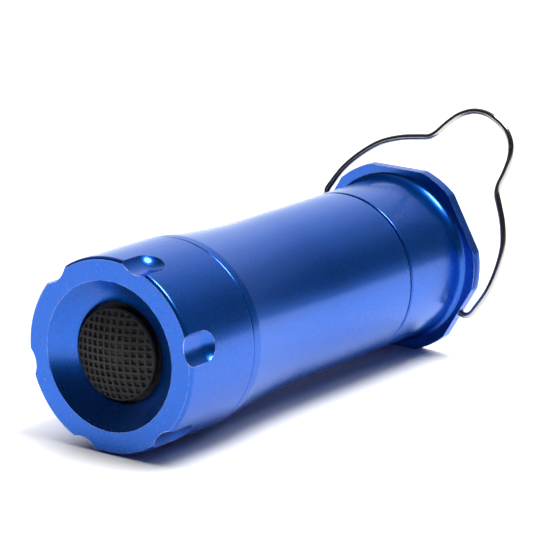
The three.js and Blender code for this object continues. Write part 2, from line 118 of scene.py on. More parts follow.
class Nodes:
    """A small helper that builds one material's node tree."""

    def __init__(self, name):
        self.material = bpy.data.materials.new(name)
        self.material.use_nodes = True
        self.tree = self.material.node_tree
        self.shader = self.tree.nodes["Principled BSDF"]
        coordinates = self.tree.nodes.new("ShaderNodeTexCoord")
        self.place = coordinates.outputs["Object"]

    def link(self, source, target):
        self.tree.links.new(source, target)

    def set(self, **values):
        """Sets the shader's inputs, with _ for a space in their names."""
        for name, value in values.items():
            self.shader.inputs[name.replace("_", " ")].default_value = value

    def noise(self, scale, detail=3.0, roughness=0.55, stretch=None):
        """Noise with scale features per metre, stretched along an axis if asked."""
        node = self.tree.nodes.new("ShaderNodeTexNoise")
        node.inputs["Scale"].default_value = scale
        node.inputs["Detail"].default_value = detail
        node.inputs["Roughness"].default_value = roughness
        source = self.place
        if stretch:
            mapping = self.tree.nodes.new("ShaderNodeMapping")
            mapping.inputs["Scale"].default_value = stretch
            self.link(source, mapping.inputs["Vector"])
            source = mapping.outputs["Vector"]
        self.link(source, node.inputs["Vector"])
        return node.outputs["Fac"]

    def ramp(self, source, start, end, low=0.0, high=1.0):
        """Maps source from start..end to low..high, clamped."""
        node = self.tree.nodes.new("ShaderNodeMapRange")
        for name, value in (("From Min", start), ("From Max", end), ("To Min", low), ("To Max", high)):
            node.inputs[name].default_value = value
        self.link(source, node.inputs["Value"])
        return node.outputs["Result"]

    def math(self, operation, first, second):
        """One arithmetic step; each side is a number or a socket."""
        node = self.tree.nodes.new("ShaderNodeMath")
        node.operation = operation
        for socket, value in zip(node.inputs, (first, second)):
            if isinstance(value, (int, float)):
                socket.default_value = value
            else:
                self.link(value, socket)
        return node.outputs["Value"]

    def mix(self, factor, first, second):
        """Mixes two colours; each is a colour or a socket."""
        node = self.tree.nodes.new("ShaderNodeMix")
        node.data_type = "RGBA"
        self.link(factor, node.inputs["Factor"])
        for name, value in (("A", first), ("B", second)):
            socket = next(s for s in node.inputs if s.name == name and s.type == "RGBA")
            if isinstance(value, tuple):
                socket.default_value = (*value, 1.0)
            else:
                self.link(value, socket)
        return next(s for s in node.outputs if s.type == "RGBA")

    def bump(self, height, strength, distance):
        """Raises the surface by a pattern, without moving the mesh."""
        node = self.tree.nodes.new("ShaderNodeBump")
        node.inputs["Strength"].default_value = strength
        node.inputs["Distance"].default_value = distance
        self.link(height, node.inputs["Height"])
        self.link(node.outputs["Normal"], self.shader.inputs["Normal"])

    def sharp_edges(self, radius):
        """1 on sharp edges, fading to 0 about radius away from them."""
        bevel = self.tree.nodes.new("ShaderNodeBevel")
        bevel.samples = EDGE_SAMPLES
        bevel.inputs["Radius"].default_value = radius
        geometry = self.tree.nodes.new("ShaderNodeNewGeometry")
        dot = self.tree.nodes.new("ShaderNodeVectorMath")
        dot.operation = "DOT_PRODUCT"
        self.link(bevel.outputs["Normal"], dot.inputs[0])
        self.link(geometry.outputs["Normal"], dot.inputs[1])
        return self.ramp(dot.outputs["Value"], EDGE_START, EDGE_FULL)

    def drive(self, name, source):
        """Lets a pattern set one of the shader's inputs."""
        self.link(source, self.shader.inputs[name])


def blue_anodised():
    """Bead-blasted, blue-anodised aluminium: dyed satin metal under a clear sealed skin."""
    n = Nodes("blue_anodised")
    n.set(Metallic=0.9, Roughness=0.28, Specular_IOR_Level=0.0)
    n.set(Coat_Weight=0.75, Coat_Roughness=0.17, Coat_IOR=1.47)
    n.set(Specular_Tint=(0.35, 0.6, 0.95, 1.0))
    cloud = n.noise(90, 3)
    blast = n.noise(4200, 3, 0.75)
    speck = n.noise(2300, 2, 0.5)
    blue = n.mix(cloud, (0.0004, 0.068, 0.40), (0.0006, 0.082, 0.45))
    grained = n.mix(n.ramp(blast, 0.40, 0.66), blue, (0.003, 0.106, 0.53))
    specked = n.mix(n.ramp(speck, 0.68, 0.74, 0.0, 0.6), grained, (0.09, 0.19, 0.55))
    worn = n.math("MULTIPLY", n.sharp_edges(EDGE_WEAR), n.ramp(n.noise(700, 3), 0.34, 0.50))
    n.drive("Base Color", n.mix(n.math("MULTIPLY", worn, 0.85), specked, (0.66, 0.63, 0.66)))
    patchy = n.ramp(cloud, 0.3, 0.7, -0.02, 0.02)
    n.drive("Roughness", n.math("ADD", n.ramp(blast, 0.3, 0.7, 0.25, 0.35), patchy))
    n.bump(blast, 0.3, 0.00003)
    return n.material


def polished_wire():
    """Nickel-plated spring wire with faint drawing marks."""
    n = Nodes("bail_wire")
    n.set(Metallic=1.0, Roughness=0.17)
    marks = n.noise(1500, 3)
    n.drive("Base Color", n.mix(n.noise(400, 2), (0.42, 0.40, 0.385), (0.50, 0.485, 0.47)))
    n.drive("Roughness", n.ramp(marks, 0.3, 0.7, 0.14, 0.20))
    n.bump(marks, 0.02, 0.00002)
    return n.material


def rubber(name, tone, grain):
    """Matt moulded rubber, a little dusty, with a fine grain."""
    n = Nodes(name)
    n.set(Metallic=0.0, Roughness=0.62, Specular_IOR_Level=0.28)
    fine = n.noise(5200, 4, 0.65)
    dusty = n.noise(420, 3)
    light = tuple(min(1.0, channel * 1.5 + 0.006) for channel in tone)
    n.drive("Base Color", n.mix(n.ramp(dusty, 0.3, 0.75), tone, light))
    n.drive("Roughness", n.ramp(fine, 0.3, 0.7, 0.48, 0.74))
    n.bump(fine, grain, 0.00005)
    return n.material


def plastic(name, tone, roughness=0.45):
    """Moulded plastic with a faintly uneven skin."""
    n = Nodes(name)
    n.set(Metallic=0.0, Roughness=roughness)
    skin = n.noise(3500, 3)
    shade = tuple(channel * 0.86 for channel in tone)
    n.drive("Base Color", n.mix(n.noise(150, 3), tone, shade))
    n.drive("Roughness", n.ramp(skin, 0.3, 0.7, roughness - 0.06, roughness + 0.08))
    n.bump(skin, 0.12, 0.00003)
    return n.material


def turned_metal(name, tone, roughness=0.28):
    """Bare metal with the fine rings that a lathe tool leaves round the light's axis."""
    n = Nodes(name)
    n.set(Metallic=1.0, Roughness=roughness)
    rings = n.noise(900, 2, 0.5, stretch=(0.02, 6.0, 0.02))
    stain = n.noise(220, 4)
    shade = tuple(channel * 0.8 for channel in tone)
    n.drive("Base Color", n.mix(stain, tone, shade))
    n.drive("Roughness", n.ramp(rings, 0.3, 0.7, roughness - 0.07, roughness + 0.1))
    n.bump(rings, 0.15, 0.00003)
    return n.material


def clear_plastic():
    """Clear plastic with a slight haze."""
    n = Nodes("clear_plastic")
    n.set(Metallic=0.0, Roughness=0.03, IOR=1.49, Transmission_Weight=1.0)
    haze = n.noise(260, 3)
    n.drive("Base Color", n.mix(haze, (0.96, 0.98, 1.0), (0.91, 0.95, 0.98)))
    n.drive("Roughness", n.ramp(haze, 0.35, 0.7, 0.02, 0.06))
    return n.material


def mirror_coat():
    """Bright vacuum-metallised coating."""
    n = Nodes("mirror_coat")
    n.set(Metallic=1.0, Roughness=0.04)
    film = n.noise(500, 3)
    n.drive("Base Color", n.mix(film, (0.90, 0.91, 0.93), (0.84, 0.85, 0.88)))
    n.drive("Roughness", n.ramp(film, 0.3, 0.7, 0.02, 0.07))
    return n.material


def circuit_board():
    """Green solder mask over glass weave."""
    n = Nodes("circuit_board")
    n.set(Metallic=0.0, Roughness=0.4)
    weave = n.noise(2500, 2, 0.5, stretch=(1.0, 1.0, 4.0))
    n.drive("Base Color", n.mix(weave, (0.012, 0.10, 0.04), (0.03, 0.17, 0.07)))
    n.drive("Roughness", n.ramp(weave, 0.3, 0.7, 0.32, 0.5))
    n.bump(weave, 0.1, 0.00003)
    return n.material


def phosphor():
    """Yellow phosphor under the clear dome of the LED."""
    n = Nodes("phosphor")
    n.set(Metallic=0.0, Roughness=0.12, IOR=1.5, Coat_Weight=1.0, Coat_Roughness=0.03)
    dust = n.noise(6000, 3)
    n.drive("Base Color", n.mix(dust, (0.86, 0.62, 0.08), (0.95, 0.78, 0.22)))
    n.bump(dust, 0.1, 0.00002)
    return n.material


MATERIALS = {
    "blue_anodised": blue_anodised(),
    "bail_wire": polished_wire(),
    "boot_rubber": rubber("boot_rubber", (0.010, 0.0098, 0.0105), 0.5),
    "seal_rubber": rubber("seal_rubber", (0.008, 0.008, 0.009), 0.1),
    "clear_plastic": clear_plastic(),
    "white_plastic": plastic("white_plastic", (0.72, 0.70, 0.65)),
    "black_plastic": plastic("black_plastic", (0.02, 0.02, 0.022)),
    "mirror_coat": mirror_coat(),
    "bare_aluminium": turned_metal("bare_aluminium", (0.66, 0.67, 0.69)),
    "brass": turned_metal("brass", (0.72, 0.52, 0.22), 0.24),
    "spring_steel": turned_metal("spring_steel", (0.60, 0.60, 0.60), 0.2),
    "circuit_board": circuit_board(),
    "cell_jacket": plastic("cell_jacket", (0.05, 0.055, 0.07), 0.3),
    "phosphor": phosphor(),
}


# --- Mesh helpers -------------------------------------------------------------------------

def finish_piece(name, bm, slot, body, replaced, smooth_angle=30):
    """Turns a bmesh in metres into a piece that rides on a body and replaces CAD nodes."""
    bmesh.ops.recalc_face_normals(bm, faces=bm.faces)
    mesh = bpy.data.meshes.new(name)
    bm.to_mesh(mesh)
    bm.free()
    piece = bpy.data.objects.new(name, mesh)
    bpy.context.scene.collection.objects.link(piece)
    shade(piece, smooth_angle)
    settle(piece, slot, body, replaced)


def settle(piece, slot, body, replaced):
    """Gives a piece its material and, unless it is soft, its body.

    A soft piece's body is a tuple (a, b, start_y, end_y), whose entries are not used: such a piece
    is only baked in place and rides on no body.
    """
    piece.data.materials.clear()
    piece.data.materials.append(MATERIALS[slot])
    if isinstance(body, tuple):
        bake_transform(piece)
    else:
        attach(piece, body)
    if replaced:
        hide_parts(*replaced)


def shade(piece, angle):
    """Smooth shading, with edges sharper than angle kept crisp."""
    mesh = piece.data
    mesh.polygons.foreach_set("use_smooth", [True] * len(mesh.polygons))
    mesh.set_sharp_from_angle(angle=math.radians(angle))


def across(degrees):
    """Unit vector across the light's axis, turned from straight up towards +X."""
    return Vector((math.sin(math.radians(degrees)), 0, math.cos(math.radians(degrees))))


def spun(bm, profile, facets=192, outline=None):
    """Spins a profile of [radius, y] points about the light's axis.

    facets is how many angles there are, or a list of them in degrees from straight up.
    The profile closes on itself unless both of its ends are on the axis. outline(angle, radius)
    may push a radius in or out at each angle, in degrees from straight up.
    """
    on_axis = profile[0][0] == 0 and profile[-1][0] == 0
    angles = facets if isinstance(facets, list) else [360 * i / facets for i in range(facets)]
    rings = []
    for radius, y in profile:
        height = Vector((0, y, 0))
        if radius == 0:
            rings.append([bm.verts.new(ORIGIN + height * MM)] * len(angles))
            continue
        ring = []
        for angle in angles:
            reach = outline(angle, radius) if outline else radius
            ring.append(bm.verts.new(ORIGIN + (across(angle) * reach + height) * MM))
        rings.append(ring)
    pairs = list(zip(rings, rings[1:]))
    if not on_axis:
        pairs.append((rings[-1], rings[0]))
    for low, high in pairs:
        for i in range(len(angles)):
            j = (i + 1) % len(angles)
            corners = []
            for vertex in (low[i], low[j], high[j], high[i]):
                if vertex not in corners:
                    corners.append(vertex)
            if len(corners) > 2:
                bm.faces.new(corners)
    return bm


def edge_loops(profile, inset=0.1):
    """Adds a point just inside both ends of each long stretch that meets a corner.

    The stretch then shades as flat or straight right up to its corners.
    """
    closed = profile[0][0] != 0 or profile[-1][0] != 0
    points = [Vector(point) for point in profile]
    count = len(points)
    dense = []
    for i in range(count if closed else count - 1):
        here, ahead = points[i], points[(i + 1) % count]
        stretch = ahead - here
        dense.append(here)
        if stretch.length < 4 * inset:
            continue
        if stretch.angle(here - points[i - 1], 0) > math.radians(2):
            dense.append(here + stretch.normalized() * inset)
        if stretch.angle(points[(i + 2) % count] - ahead, 0) > math.radians(2):
            dense.append(ahead - stretch.normalized() * inset)
    if not closed:
        dense.append(points[-1])
    return [[point.x, point.y] for point in dense]


def softened(profile, size=0.12, steps=3):
    """Rounds each corner of a profile, cut back by size on both sides."""
    soft = []
    for i, corner in enumerate(profile):
        corner = Vector(corner)
        if corner.x == 0:
            soft.append([0, corner.y])
            continue
        back = Vector(profile[i - 1]) - corner
        ahead = Vector(profile[(i + 1) % len(profile)]) - corner
        first = corner + back * min(size / back.length, 0.45)
        last = corner + ahead * min(size / ahead.length, 0.45)
        for step in range(steps + 1):
            t = step / steps
            point = first * (1 - t) ** 2 + corner * (2 * t * (1 - t)) + last * t ** 2
            soft.append([point.x, point.y])
    return soft


def arc(centre, radius, start, end, steps):
    """Points of an arc in the [radius, y] plane; angles in degrees from outwards towards +y."""
    points = []
    for step in range(steps + 1):
        angle = math.radians(start + (end - start) * step / steps)
        points.append([centre[0] + radius * math.cos(angle), centre[1] + radius * math.sin(angle)])
    return points


def cut_with(piece, cutter):
    """Cuts cutter, an object, out of piece and deletes it."""
    modifier = piece.modifiers.new("cut", "BOOLEAN")
    modifier.operation = "DIFFERENCE"
    modifier.solver = "EXACT"
    modifier.object = cutter
    graph = bpy.context.evaluated_depsgraph_get()
    mesh = bpy.data.meshes.new_from_object(piece.evaluated_get(graph))
    piece.modifiers.clear()
    piece.data = mesh
    bpy.data.objects.remove(cutter)


def loose_object(name, bm):
    """An object made from a bmesh, with no body or material yet."""
    mesh = bpy.data.meshes.new(name)
    bm.to_mesh(mesh)
    bm.free()
    piece = bpy.data.objects.new(name, mesh)
    bpy.context.scene.collection.objects.link(piece)
    return piece


# --- Tail cap -----------------------------------------------------------------------------

CAP_R = node_radius("tail_cap")
CAP_END = node_span("tail_cap")[1]
CAP_BEVEL_R = 0.75              # radius of the worn bevel round the tail face
CAP_BEVEL_FROM, CAP_BEVEL_TO = -68, -5      # degrees; the bevel starts at a crease in the tail face
CAP_MOUTH_ROUND = 0.2           # rounding of the cap's front edge
DISH_R = 12.6
DISH_DEPTH = 2.95
DISH_SAG = 0.16                 # how far the dish's side bows below a straight cone
DISH_STEPS = 8
DISH_LIP = 0.12                 # the lip round the boot's hole, across and
DISH_LIP_DEPTH = 0.15           # along the axis
BOOT_HOLE_R = 8.5
END_WALL_Y = 4.4
MODULE_BORE_R = 12.6
MODULE_BORE_END_Y = 12.4
CAP_THREAD_R = 15.2

NOTCH_COUNT = 6
NOTCH_FIRST = 17                # degrees from straight up
NOTCH_BALL_R = 4.0              # the scallops are cut by a round-ended cylinder
NOTCH_DEPTH = 1.2
NOTCH_BALL_Y = 4.1              # where its round end is centred
NOTCH_START_Y = -8              # well behind the tail face
CRISP_ANGLE = 24                # degrees; edges sharper than this stay crisp on the blue parts
TURNED_FACETS = 240


def capsule(bm, radius, start, end, angle, distance):
    """A round-ended cylinder along the light's axis, its centre line at distance from it."""
    steps, facets = 24, 64
    profile = [[0, start - radius]]
    profile += arc([0, start], radius, -90, 0, steps)[1:]
    profile += arc([0, end], radius, 0, 90, steps)[:-1]
    profile += [[0, end + radius]]
    first = len(bm.verts)
    spun(bm, profile, facets)
    bm.verts.ensure_lookup_table()
    for vertex in bm.verts[first:]:
        vertex.co += across(angle) * distance * MM


def tail_cap():
    """The tail cap, with its dished recess and six grip scallops."""
    profile = [[DISH_R, 0]]
    profile += arc([CAP_R - CAP_BEVEL_R, CAP_BEVEL_R], CAP_BEVEL_R, CAP_BEVEL_FROM, CAP_BEVEL_TO, 8)
    profile[1][1] = 0
    profile += arc([CAP_R - CAP_MOUTH_ROUND, CAP_END - CAP_MOUTH_ROUND], CAP_MOUTH_ROUND, 0, 90, 4)
    profile += [[CAP_THREAD_R, CAP_END], [CAP_THREAD_R, MODULE_BORE_END_Y]]
    profile += [[MODULE_BORE_R, MODULE_BORE_END_Y], [MODULE_BORE_R, END_WALL_Y]]
    profile += [[BOOT_HOLE_R, END_WALL_Y], [BOOT_HOLE_R, DISH_DEPTH + DISH_LIP_DEPTH]]
    for step in range(DISH_STEPS):      # the last step would be the profile's first point again
        share = step / DISH_STEPS
        sag = DISH_SAG * math.sin(math.pi * share)
        radius = BOOT_HOLE_R + DISH_LIP + (DISH_R - BOOT_HOLE_R - DISH_LIP) * share
        profile.append([radius, DISH_DEPTH * (1 - share) + sag])
    piece = loose_object("tail_cap_shell", spun(bmesh.new(), edge_loops(profile), TURNED_FACETS))
    for index in range(NOTCH_COUNT):
        bm = bmesh.new()
        angle = NOTCH_FIRST + index * 360 / NOTCH_COUNT
        capsule(bm, NOTCH_BALL_R, NOTCH_START_Y, NOTCH_BALL_Y, angle, CAP_R - NOTCH_DEPTH + NOTCH_BALL_R)
        cut_with(piece, loose_object("cutter", bm))
    shade(piece, CRISP_ANGLE)
    settle(piece, "blue_anodised", "cap", ["tail_cap"])


tail_cap()


# --- Push-button --------------------------------------------------------------------------

BOOT_R = 7.8
BOOT_TOP_Y = 0.25
BOOT_DROP = 1.75                # how much the dome falls away from its apex to BOOT_R
BOOT_CROWN_R = 7.5              # where the dome turns down into its side
BOOT_EDGE_ROUND = 0.5
BOOT_EDGE_END = 35              # degrees; where the rounding of the dome's edge ends
BOOT_WALL = 1.0
BOOT_FOOT_R = 7.0               # where the dome's side meets the skirt
BOOT_FOOT_RISE = 0.3
BOOT_SKIRT_START_R = 7.2
BOOT_SIDE_STEPS = 6
BOOT_CAVITY = ((0.0, 4.6), (0.0, 3.8), (0.0, 3.0), (0.4, 2.5))     # inwards from the wall, y
BOOT_PAD_R, BOOT_PAD_Y = 4.0, 1.75      # the cavity's ceiling, down to the axis
BOOT_CEILING_Y = 1.3
BOOT_GIVES_FROM_Y = 2.2         # start of the side's span, up to the skirt; passed along but not used
BOOT_FACETS, BOOT_RINGS = 540, 104
SKIRT_ROUND = 0.1
SKIRT_TOP_Y, SKIRT_END_Y = node_span("boot_skirt")
SKIRT_R = node_radius("boot_skirt")
WAFFLE_PITCH = 1.25
WAFFLE_PIT = 0.72               # width of each square pit
WAFFLE_SLOPE = 0.13
WAFFLE_DEPTH = 0.42
WAFFLE_TURN = 4                 # degrees
WAFFLE_FADE = 0.25              # the pits fade out over this much, at the dome's edge
WAFFLE_UNEVEN = 0.25            # share by which the pits' depth varies
WORN_AT = Vector((0.9, 0, 0.6))     # the thumb's wear, off the middle of the dome
WORN_R = 2.6
WORN_SHARE = 0.6                # how much shallower the pits are there
WORN_DROP = 0.05                # and how much rubber has gone


def waffle(place):
    """Depth of the waffle pits at a place on the button."""
    turn = math.radians(WAFFLE_TURN)
    a = place.x * math.cos(turn) + place.z * math.sin(turn)
    b = place.z * math.cos(turn) - place.x * math.sin(turn)
    depth = WAFFLE_DEPTH * (1 + WAFFLE_UNEVEN * noise.noise(place * 1.1))
    for position in (a, b):
        offset = abs((position / WAFFLE_PITCH) % 1 - 0.5) * WAFFLE_PITCH
        depth *= min(1, max(0, ((WAFFLE_PIT + WAFFLE_SLOPE) / 2 - offset) / WAFFLE_SLOPE))
    worn = max(0, 1 - (place - WORN_AT).length / WORN_R) ** 0.5
    return depth * (1 - WORN_SHARE * worn) + WORN_DROP * worn


def boot_outline():
    """The boot's outside from the dome's edge down to its skirt, and back up its inside."""
    slope = math.atan(2 * BOOT_DROP * BOOT_CROWN_R / BOOT_R ** 2)
    crown_y = BOOT_TOP_Y + BOOT_DROP * (BOOT_CROWN_R / BOOT_R) ** 2
    round_r = BOOT_EDGE_ROUND
    centre = [BOOT_CROWN_R - round_r * math.sin(slope), crown_y + round_r * math.cos(slope)]
    edge = arc(centre, round_r, math.degrees(slope) - 90, BOOT_EDGE_END, 10)[1:]
    top, foot = Vector(edge[-1]), Vector((BOOT_FOOT_R, SKIRT_TOP_Y - BOOT_FOOT_RISE))
    side = [list(top.lerp(foot, step / BOOT_SIDE_STEPS)) for step in range(1, BOOT_SIDE_STEPS + 1)]
    skirt = [[BOOT_SKIRT_START_R, SKIRT_TOP_Y], [SKIRT_R - SKIRT_ROUND, SKIRT_TOP_Y]]
    skirt += [[SKIRT_R, SKIRT_TOP_Y + SKIRT_ROUND], [SKIRT_R, SKIRT_END_Y - SKIRT_ROUND]]
    skirt += [[SKIRT_R - SKIRT_ROUND, SKIRT_END_Y]]
    inner = BOOT_FOOT_R - BOOT_WALL
    inside = [[inner, SKIRT_END_Y]] + [[inner - inwards, y] for inwards, y in BOOT_CAVITY]
    inside += [[BOOT_PAD_R, BOOT_PAD_Y], [0, BOOT_CEILING_Y]]
    return edge + side + skirt + inside


def boot():
    """The whole rubber boot: waffled dome, rounded edge, and the skirt clamped in the cap."""
    bm = bmesh.new()
    directions = [across(360 * i / BOOT_FACETS) for i in range(BOOT_FACETS)]
    rows = []
    for ring in range(BOOT_RINGS + 1):
        radius = BOOT_CROWN_R * ring / BOOT_RINGS
        fade = min(1, max(0, (BOOT_CROWN_R - radius) / WAFFLE_FADE))
        row = []
        for direction in directions if radius else directions[:1]:
            place = direction * radius
            place.y = BOOT_TOP_Y + BOOT_DROP * (radius / BOOT_R) ** 2
            place.y += waffle(direction * radius) * fade
            row.append(bm.verts.new(ORIGIN + place * MM))
        rows.append(row)
    for radius, y in boot_outline():
        ring = directions if radius else directions[:1]
        height = Vector((0, y, 0))
        rows.append([bm.verts.new(ORIGIN + (direction * radius + height) * MM) for direction in ring])
    for low, high in zip(rows, rows[1:]):
        for i in range(BOOT_FACETS):
            j = (i + 1) % BOOT_FACETS
            corners = []
            lower = (low[i % len(low)], low[j % len(low)])
            upper = (high[j % len(high)], high[i % len(high)])
            for vertex in lower + upper:
                if vertex not in corners:
                    corners.append(vertex)
            bm.faces.new(corners)
    return bm


def rubber_boot():
    """The rubber boot as one piece, baked in place on no body; the button, the cap and the span of its
    side between the dome and the skirt are passed along but not used.
    """
    gives = ("button", "cap", BOOT_GIVES_FROM_Y, SKIRT_TOP_Y)
    finish_piece("rubber_boot", boot(), "boot_rubber", gives, ["boot_dome", "boot_skirt"], 40)


rubber_boot()


# --- Body ---------------------------------------------------------------------------------

NECK_R = 14.9
THREAD_ROOT_R = 14.45
THREAD_RELIEF_END_Y = 15.6      # end of the plain stretch past the thread, at the O-ring's groove
SEAL_GROOVE_R = 14.2
SEAL_GROOVE_END_Y = 16.9
CAP_GAP = 0.15                  # between the cap's front edge and the body's shoulder
BAND_R = 16.4
BAND_END_Y = 19.6
SHOULDER_BREAK = 0.38           # rounding of the body's rear edge, which shows as a bright line
WAIST_R = 14.72
WAIST_START_Y = 45
WAIST_STEPS = 28                # points on the curve from the band down to the waist
BODY_BORE_R = 13.9
GROOVE_ROUND = 0.34             # rounding on both sides of the groove between body and head
LIP_R = 13.55
LIP_START_Y = 66.8


def body_tube():
    """The waisted body, from its threaded neck to the lip inside the head's groove."""
    start, end = node_span("body_tube")
    shoulder = CAP_END + CAP_GAP
    profile = [[BODY_BORE_R, start], [THREAD_ROOT_R, start], [THREAD_ROOT_R, THREAD_RELIEF_END_Y]]
    profile += [[SEAL_GROOVE_R, THREAD_RELIEF_END_Y], [SEAL_GROOVE_R, SEAL_GROOVE_END_Y]]
    profile += [[NECK_R, SEAL_GROOVE_END_Y], [NECK_R, shoulder], [BAND_R - SHOULDER_BREAK, shoulder]]
    profile += arc([BAND_R - SHOULDER_BREAK, shoulder + SHOULDER_BREAK], SHOULDER_BREAK, -90, 0, 5)[1:]
    profile += [[BAND_R, BAND_END_Y]]
    for step in range(1, WAIST_STEPS + 1):
        share = step / WAIST_STEPS
        y = BAND_END_Y + (WAIST_START_Y - BAND_END_Y) * share
        profile.append([WAIST_R + (BAND_R - WAIST_R) * (1 - share) ** 2, y])
    profile += arc([WAIST_R - GROOVE_ROUND, end - GROOVE_ROUND], GROOVE_ROUND, 0, 80, 6)
    profile += [[LIP_R, end], [LIP_R, LIP_START_Y], [BODY_BORE_R, LIP_START_Y]]
    bm = spun(bmesh.new(), edge_loops(profile), TURNED_FACETS)
    finish_piece("body_shell", bm, "blue_anodised", "body", ["body_tube"], CRISP_ANGLE)


body_tube()


# --- Head ---------------------------------------------------------------------------------

FLANGE_BACK_Y = 85.26
FLANGE_FLAT_R = 16.5
FLANGE_CORNER_R = 17.42
FLANGE_CHAMFER = 0.05
FLAT_STEPS, CORNER_STEPS = 20, 16       # facets of each flat and each round corner
FLARE_HEIGHT = 0.95             # how far the sleeve flares out where it meets the flange
FLARE_LENGTH = 2.1
FLARE_STEPS = 14
HEAD_BORE_R = 13.7
HEAD_MOUTH_CHAMFER = 0.2
JUST_OUTSIDE = 0.001            # keeps a point on the flange's side of where the sleeve ends
PIVOT_ANGLE = 120               # degrees from straight up, of the bail's pins
PIVOT_HOLE_R = 0.75
PIVOT_HOLE_START_R = 14.2
PIVOT_HOLE_LENGTH = 6
PIVOT_HOLE_FACETS = 48
BAIL_JOINT = next(joint for joint in frame["joints"] if joint["name"] == "bail_swing")
PIVOT_Y = (BAIL_JOINT["pos_m"][1] - TAIL_Y) / MM


def flange_reach(angle):
    """Radius of the flange's outline at an angle: six flats, with round corners."""
    off_flat = (angle + 30) % 60 - 30
    return min(FLANGE_CORNER_R, FLANGE_FLAT_R / math.cos(math.radians(off_flat)))


def flange_angles():
    """Even steps of angle, with one exactly at each end of each flat."""
    half = math.degrees(math.acos(FLANGE_FLAT_R / FLANGE_CORNER_R))
    angles = []
    for side in range(6):
        middle = side * 60
        angles += [middle - half + 2 * half * i / FLAT_STEPS for i in range(FLAT_STEPS)]
        angles += [middle + half + (60 - 2 * half) * i / CORNER_STEPS for i in range(CORNER_STEPS)]
    return angles


def head_shell():
    """The sliding sleeve and its hexagonal flange, with two holes for the bail's pins."""
    start, end = node_span("head_shell")
    root = WAIST_R + FLARE_HEIGHT

    def outline(angle, radius):
        return radius if radius <= root else flange_reach(angle) + radius - FLANGE_CORNER_R

    profile = [[HEAD_BORE_R, start]]
    profile += arc([WAIST_R - GROOVE_ROUND, start + GROOVE_ROUND], GROOVE_ROUND, -80, 0, 6)
    for step in range(FLARE_STEPS + 1):
        angle = math.pi * (1 - step / (2 * FLARE_STEPS))
        flare = FLARE_LENGTH * (1 - math.sin(angle))
        profile.append([root + FLARE_HEIGHT * math.cos(angle), FLANGE_BACK_Y - flare])
    rim = FLANGE_CORNER_R - FLANGE_CHAMFER
    profile += [[rim, FLANGE_BACK_Y], [FLANGE_CORNER_R, FLANGE_BACK_Y + FLANGE_CHAMFER]]
    profile += [[FLANGE_CORNER_R, end - FLANGE_CHAMFER], [rim, end]]
    profile += [[root + JUST_OUTSIDE, end], [HEAD_BORE_R + HEAD_MOUTH_CHAMFER, end]]
    profile += [[HEAD_BORE_R, end - HEAD_MOUTH_CHAMFER]]
    piece = loose_object("head_sleeve", spun(bmesh.new(), edge_loops(profile), flange_angles(), outline))
    for turn in (0, 180):
        drill = bmesh.new()
        bmesh.ops.create_cone(
            drill, cap_ends=True, segments=PIVOT_HOLE_FACETS, depth=PIVOT_HOLE_LENGTH * MM,
            radius1=PIVOT_HOLE_R * MM, radius2=PIVOT_HOLE_R * MM)
        direction = across(PIVOT_ANGLE + turn)
        middle_r = PIVOT_HOLE_START_R + PIVOT_HOLE_LENGTH / 2
        place = Vector((0, PIVOT_Y * MM, 0)) + direction * middle_r * MM
        aim = direction.to_track_quat("Z", "Y").to_matrix().to_4x4()
        drill.transform(Matrix.Translation(ORIGIN + place) @ aim)
        cut_with(piece, loose_object("drill", drill))
    shade(piece, CRISP_ANGLE)
    settle(piece, "blue_anodised", "head", ["head_shell"])


head_shell()


# --- Bail ---------------------------------------------------------------------------------

WIRE_R = 0.6
BAIL_LEAN = 17                  # degrees forward of straight across the light's axis
BAIL_TOP = 31.1                 # height of the wire above its pins
BAIL_STEPS = 9                  # path points between two of the points below
# One half of the wire, from a pin to the top: (sideways from the middle, height above the pins).
BAIL_HALF = [
    (14.6, 0), (16.3, 0), (17.6, 0.2), (18.2, 1.0), (18.3, 2.6), (18.15, 6.2), (17.15, 10.2),
    (15.35, 14.2), (12.7, 17.35), (9.8, 19.75), (8.55, 20.75), (7.85, 22.0), (7.15, 25.0),
    (6.25, 27.5), (4.6, 29.6), (2.4, 30.8),
]


def catmull_rom(points, steps):
    """Points of a centripetal Catmull-Rom curve through the given ones."""
    ends = [points[0] * 2 - points[1], *points, points[-1] * 2 - points[-2]]
    path = []
    for a, b, c, d in zip(ends, ends[1:], ends[2:], ends[3:]):
        t0 = 0.0
        t1 = t0 + (b - a).length ** 0.5
        t2 = t1 + (c - b).length ** 0.5
        t3 = t2 + (d - c).length ** 0.5
        for step in range(steps):
            t = t1 + (t2 - t1) * step / steps
            ab = a * ((t1 - t) / (t1 - t0)) + b * ((t - t0) / (t1 - t0))
            bc = b * ((t2 - t) / (t2 - t1)) + c * ((t - t1) / (t2 - t1))
            cd = c * ((t3 - t) / (t3 - t2)) + d * ((t - t2) / (t3 - t2))
            abc = ab * ((t2 - t) / (t2 - t0)) + bc * ((t - t0) / (t2 - t0))
            bcd = bc * ((t3 - t) / (t3 - t1)) + cd * ((t - t1) / (t3 - t1))
            path.append(abc * ((t2 - t) / (t2 - t1)) + bcd * ((t - t1) / (t2 - t1)))
    path.append(points[-1])
    return path


